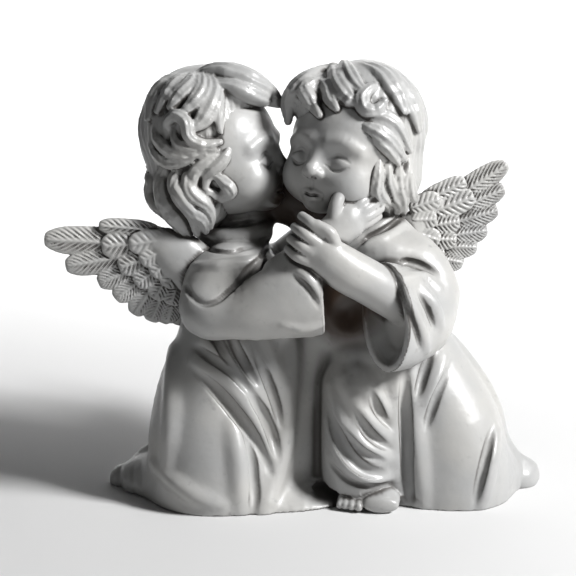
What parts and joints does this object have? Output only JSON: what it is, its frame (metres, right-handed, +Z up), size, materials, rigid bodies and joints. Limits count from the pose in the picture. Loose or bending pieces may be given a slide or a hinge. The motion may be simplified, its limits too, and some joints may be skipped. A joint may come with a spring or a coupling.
{
  "type": "cemetery angel statue",
  "caption": "Small cast grave ornament: a pair of kneeling winged cherub angels in flowing robes, embracing cheek to cheek, standing on a flat underside.",
  "frame": {"origin": "centre of the outline's box, on the flat underside", "axes": "+X along the width of the pair towards the viewer's right, +Y away from the viewer, +Z up"},
  "size_m": [0.2479, 0.1249, 0.216],
  "materials": {
    "painted_cast_stone": "glossy off-white paint, dark in the deep creases"
  },
  "bodies": {
    "root": {"angel_pair": "painted_cast_stone"}
  },
  "joints": []
}
